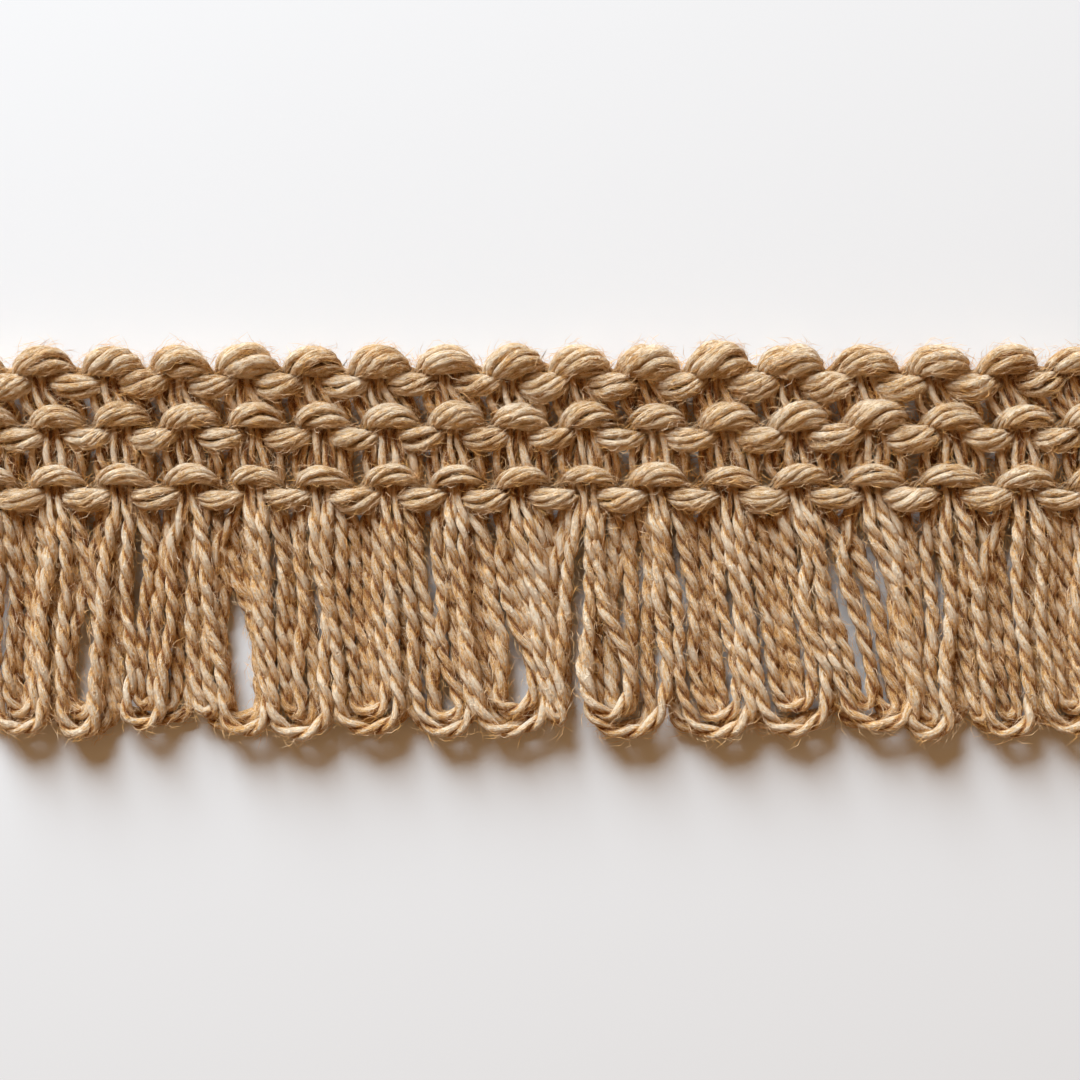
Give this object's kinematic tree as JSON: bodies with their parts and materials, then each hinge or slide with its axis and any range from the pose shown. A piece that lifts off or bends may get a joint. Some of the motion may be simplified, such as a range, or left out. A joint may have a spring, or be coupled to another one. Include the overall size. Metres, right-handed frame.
{
  "type": "loop fringe trim",
  "caption": "Flat length of woven loop fringe: bead-like binding cords over sheaves of plied yarn that hang below the heading as long open loops.",
  "frame": {"origin": "on the flat back of the middle sheaf of yarns, under the heading's lowest row of beads, in the plane of the surface that the trim lies on", "axes": "+X along the length of the trim, +Y from the loops towards the heading's beaded top edge, +Z out of its face"},
  "size_m": [0.1129, 0.038, 0.004],
  "materials": {
    "binding_cord": "thick soft-spun cotton cord, tan, matt, with fine fuzz",
    "loop_yarn": "two-ply soft-spun cotton yarn, tan, matt, with fine fuzz"
  },
  "bodies": {
    "root": {"top_upper_cord": "binding_cord", "top_lower_cord": "binding_cord", "middle_upper_cord": "binding_cord", "middle_lower_cord": "binding_cord", "bottom_upper_cord": "binding_cord", "bottom_lower_cord": "binding_cord", "weft_with_loops": "loop_yarn"}
  },
  "joints": []
}
